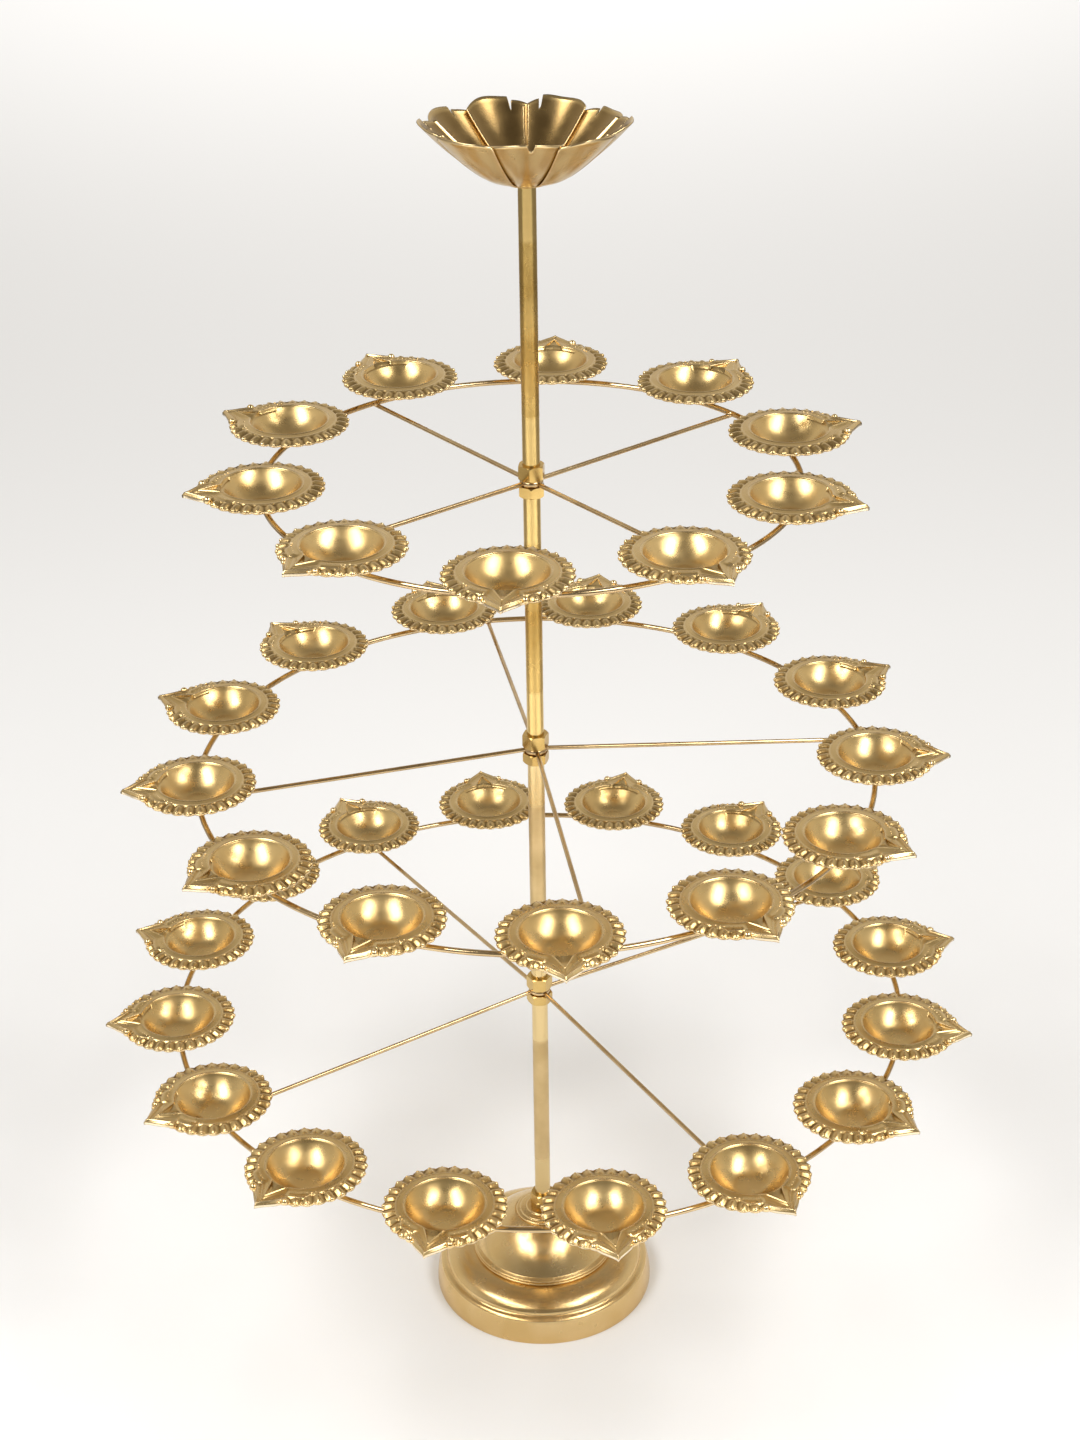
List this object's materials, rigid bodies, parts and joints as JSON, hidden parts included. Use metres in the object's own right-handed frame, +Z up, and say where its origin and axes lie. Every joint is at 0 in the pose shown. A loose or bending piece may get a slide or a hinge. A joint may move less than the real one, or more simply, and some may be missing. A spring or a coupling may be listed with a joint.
{
  "type": "brass standing oil lamp",
  "caption": "Tall brass oil lamp: rings of scalloped oil cups with pointed wick spouts on spoked hubs up a jointed pole, a lotus cup on top and a domed round base.",
  "frame": {"origin": "centre of the base's underside, on the floor", "axes": "+Z up along the pole, -Y towards the front, +X to the right seen from the front"},
  "size_m": [0.4968, 0.4968, 0.7311],
  "materials": {
    "cup_brass": "satin, with polished high spots",
    "wire_brass": "polished",
    "base_brass": "satin",
    "pole_brass": "polished, with brushed middles",
    "lotus_brass": "satin",
    "steel": "plain, unseen"
  },
  "bodies": {
    "stand": {"base_foot": "base_brass", "base_dome": "base_brass", "base_boss": "base_brass", "base_hex_nuts": "pole_brass", "base_anchor_nut": "steel", "pole_section_1": "pole_brass", "pole_section_2": "pole_brass", "pole_section_3": "pole_brass", "pole_section_4": "pole_brass", "joint_studs": "steel", "nuts_above_hubs": "pole_brass", "nuts_below_hubs": "pole_brass", "lotus_screw": "pole_brass"},
    "lower_tier": {"spider_lower": "wire_brass", "ring_lower": "wire_brass", "cup_lower_01": "cup_brass", "cup_lower_02": "cup_brass", "cup_lower_03": "cup_brass", "cup_lower_04": "cup_brass", "cup_lower_05": "cup_brass", "cup_lower_06": "cup_brass", "cup_lower_07": "cup_brass", "cup_lower_08": "cup_brass", "cup_lower_09": "cup_brass", "cup_lower_10": "cup_brass", "cup_lower_11": "cup_brass", "cup_lower_12": "cup_brass", "cup_lower_13": "cup_brass", "cup_lower_14": "cup_brass", "cup_lower_15": "cup_brass", "cup_lower_16": "cup_brass"},
    "middle_tier": {"spider_middle": "wire_brass", "ring_middle": "wire_brass", "cup_middle_01": "cup_brass", "cup_middle_02": "cup_brass", "cup_middle_03": "cup_brass", "cup_middle_04": "cup_brass", "cup_middle_05": "cup_brass", "cup_middle_06": "cup_brass", "cup_middle_07": "cup_brass", "cup_middle_08": "cup_brass", "cup_middle_09": "cup_brass", "cup_middle_10": "cup_brass", "cup_middle_11": "cup_brass", "cup_middle_12": "cup_brass", "cup_middle_13": "cup_brass"},
    "upper_tier": {"spider_upper": "wire_brass", "ring_upper": "wire_brass", "cup_upper_01": "cup_brass", "cup_upper_02": "cup_brass", "cup_upper_03": "cup_brass", "cup_upper_04": "cup_brass", "cup_upper_05": "cup_brass", "cup_upper_06": "cup_brass", "cup_upper_07": "cup_brass", "cup_upper_08": "cup_brass", "cup_upper_09": "cup_brass", "cup_upper_10": "cup_brass"},
    "lotus": {"lotus_cup": "lotus_brass"}
  },
  "joints": [
    {"name": "lower_tier_turn", "type": "hinge", "parent": "stand", "child": "lower_tier", "pos_m": [0, 0, 0.213], "axis": [0, 0, 1], "continuous": true},
    {"name": "middle_tier_turn", "type": "hinge", "parent": "stand", "child": "middle_tier", "pos_m": [0, 0, 0.374], "axis": [0, 0, 1], "continuous": true},
    {"name": "upper_tier_turn", "type": "hinge", "parent": "stand", "child": "upper_tier", "pos_m": [0, 0, 0.535], "axis": [0, 0, 1], "continuous": true},
    {"name": "lotus_turn", "type": "hinge", "parent": "stand", "child": "lotus", "pos_m": [0, 0, 0.696], "axis": [0, 0, 1], "continuous": true}
  ]
}
